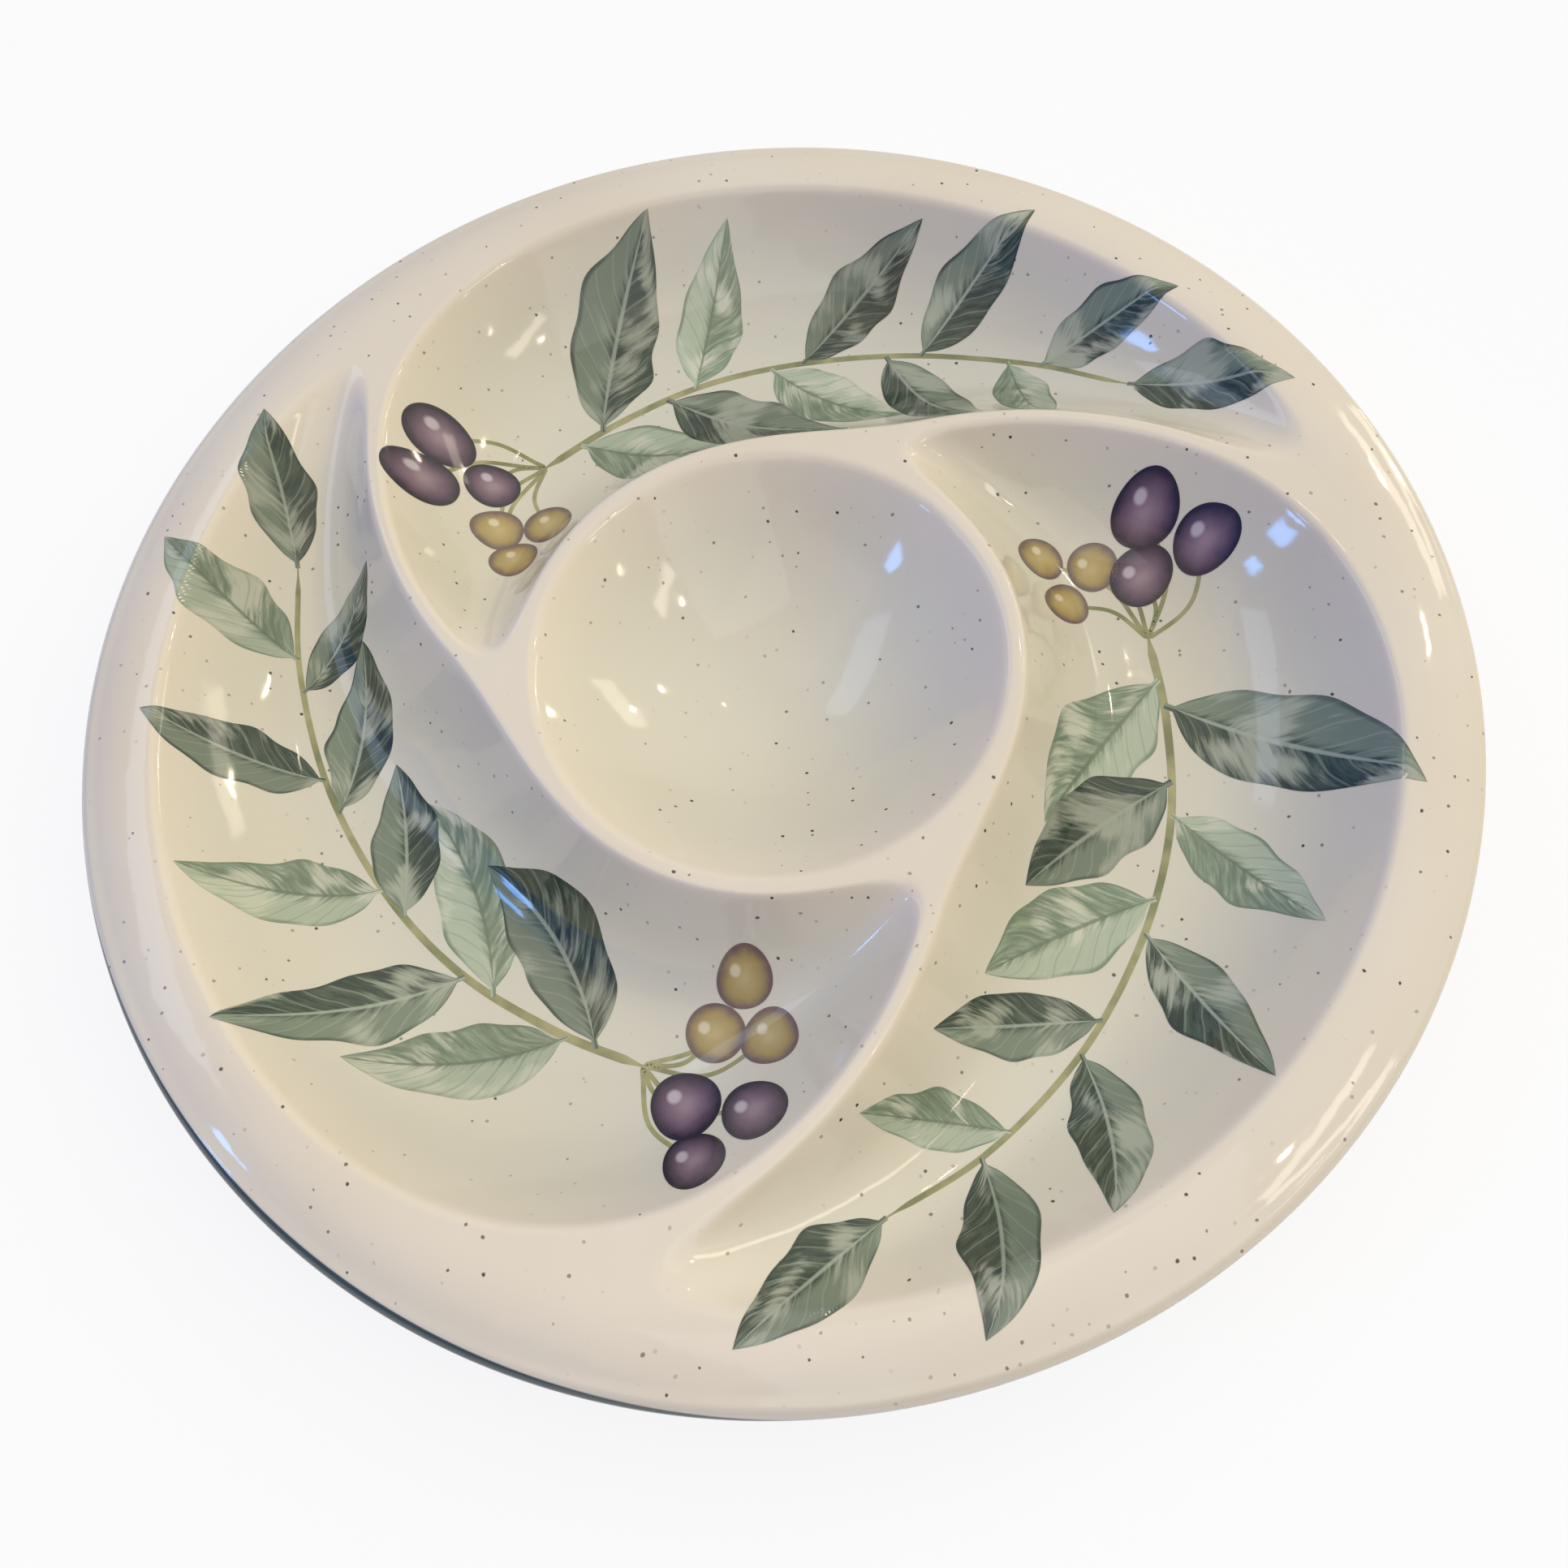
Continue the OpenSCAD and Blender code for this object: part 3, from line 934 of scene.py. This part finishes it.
# %% Floor
FLOOR_SIZE = 8
FLOOR_WHITE = 0.8
bpy.ops.object.select_all(action="DESELECT")
bpy.ops.mesh.primitive_plane_add(size=FLOOR_SIZE)
floor = bpy.context.object
floor.name = floor.data.name = "white_table"
white, tree, shader = new_finish("white table top", 0.9, 1.5)
shader.inputs["Base Color"].default_value = paint("F8F8F8")
shader.inputs["Specular IOR Level"].default_value = 0.0
seen = add(tree, "LightPath", out="Is Camera Ray")
shown = add(tree, "Math", (seen, FLOOR_WHITE), operation="MULTIPLY")
plain = add(tree, "Emission", (paint("FFFFFF"), 1.0))
ground = add(tree, "MixShader", (shown, shader.outputs[0], plain))
tree.links.new(ground, tree.nodes["Material Output"].inputs["Surface"])
floor.data.materials.append(white)
print("Floor:", white.name)

# %% [markdown]
# A room lights the dish from all round: warm from the back right, cooler and weaker from the left. A sky
# whose colour goes smoothly from one to the other gives that without drawing a shape in the gloss. Then the
# gloss gets something to mirror. Panes on the left draw the blue glints on the walls, a wide window at the
# back draws the pale band in the bowl, a low one on the right draws thin lines along the edges, and a pane at
# the front right draws the streak on the rim. Small warm lamps draw the sharp glints, and two weak lamps
# close to the front and the left lift the rim there.

# %% Room light
WARM_SIDE = (0.50, 0.32, 0.80)
SKY_STRENGTH = 1.25
scene = bpy.context.scene
world = bpy.data.worlds.new("soft room light")
scene.world = world
world.use_nodes = True
tree = world.node_tree
toward = add(tree, "TexCoord")
facing = add(tree, "VectorMath", (toward, WARM_SIDE), out="Value", operation="DOT_PRODUCT")
warmth = add(tree, "MapRange", (facing, 0.07, 0.9))
leftward = add(tree, "MapRange", (add(tree, "SeparateXYZ", (toward,)), 0.1, -0.8))
dim = add(tree, "Mix", {0: leftward, 6: paint("5A4F3C"), 7: paint("1A57BA")}, out=2, data_type="RGBA")
room = add(tree, "Mix", {0: warmth, 6: dim, 7: paint("F5F2E6")}, out=2, data_type="RGBA")
sky = tree.nodes["Background"]
tree.links.new(room, sky.inputs["Color"])
sky.inputs["Strength"].default_value = SKY_STRENGTH
# The camera itself sees plain white beyond the table
seen = add(tree, "LightPath", out="Is Camera Ray")
plain = add(tree, "Background", (paint("FFFFFF"), 1.0))
around = add(tree, "MixShader", (seen, sky.outputs[0], plain))
tree.links.new(around, tree.nodes["World Output"].inputs["Surface"])
print("Light:", world.name)


# %% A lamp
def lamp(name, bearing, height, distance, colour, radiance, wide, tall, shape="RECTANGLE"):
    """A flat lamp that faces the dish from a bearing and a height in degrees. Sizes are in metres."""
    level = distance * math.cos(math.radians(height))
    spot = Vector((*polar(level, bearing), distance * math.sin(math.radians(height))))
    bpy.ops.object.light_add(type="AREA", location=spot)
    light = bpy.context.object
    light.name = light.data.name = name
    light.data.shape = shape
    light.data.size = wide
    light.data.size_y = tall
    light.data.energy = radiance * math.pi * wide * tall
    light.data.color = paint(colour)[:3]
    light.rotation_euler = spot.to_track_quat("Z", "Y").to_euler()


# %% Windows and lamps
FAR = 1.5
# Name, bearing, height in degrees, distance, colour, radiance, and the pane's own width and height
WINDOWS = [
    ("left_window", -162, 25, FAR, "6AACFF", 16, 0.16, 0.12),
    ("upper_pane", -165, 37, FAR, "6AACFF", 16, 0.12, 0.1),
    ("back_window", 152, 48, FAR, "BCD0F0", 2.0, 1.05, 0.3),
    ("right_window", 34, 25, FAR, "FFF1DC", 3.5, 0.4, 0.12),
    ("right_pane", -24, 47, FAR, "FFF1DC", 5, 0.4, 0.09),
    ("front_lamp", -67, 58, 0.71, "EFF6FF", 0.76, 0.5, 0.5),
    ("left_front_lamp", -135, 72, 0.6, "FFCFA0", 0.4, 0.5, 0.5),
]
for window in WINDOWS:
    lamp(*window)
# The small lamps: bearing, height and radiance
LAMPS = [(52, 57, 25), (-26, 52, 60), (-18, 36, 20), (28, 41, 60), (37, 27, 50), (39, 8, 50)]
LAMP_SIZE = (0.05, 0.03)
for k, (bearing, height, radiance) in enumerate(LAMPS):
    lamp(f"lamp_{k + 1}", bearing, height, FAR, "FFE9CC", radiance, *LAMP_SIZE, "ELLIPSE")
scene.view_settings.view_transform = "Standard"

# %% Camera
# The lens, the place and the three turns were worked out from the ellipse of the lip in the picture
LENS_MM, SENSOR_MM = 31.416, 36
CAMERA_AT = (0.00452, -0.15508, 0.32471)
TILT, ROLL, ROUND = math.radians(22.997), math.radians(-6.848), math.radians(1.67)
bpy.ops.object.camera_add(location=CAMERA_AT)
camera = bpy.context.object
camera.name = camera.data.name = "photo_camera"
camera.data.sensor_width = SENSOR_MM
camera.data.lens = LENS_MM
aim = Matrix.Rotation(ROUND, 3, "Z") @ Matrix.Rotation(TILT, 3, "X") @ Matrix.Rotation(ROLL, 3, "Z")
camera.rotation_euler = aim.to_euler()
scene.camera = camera
print("Camera at", [round(v, 3) for v in camera.location])
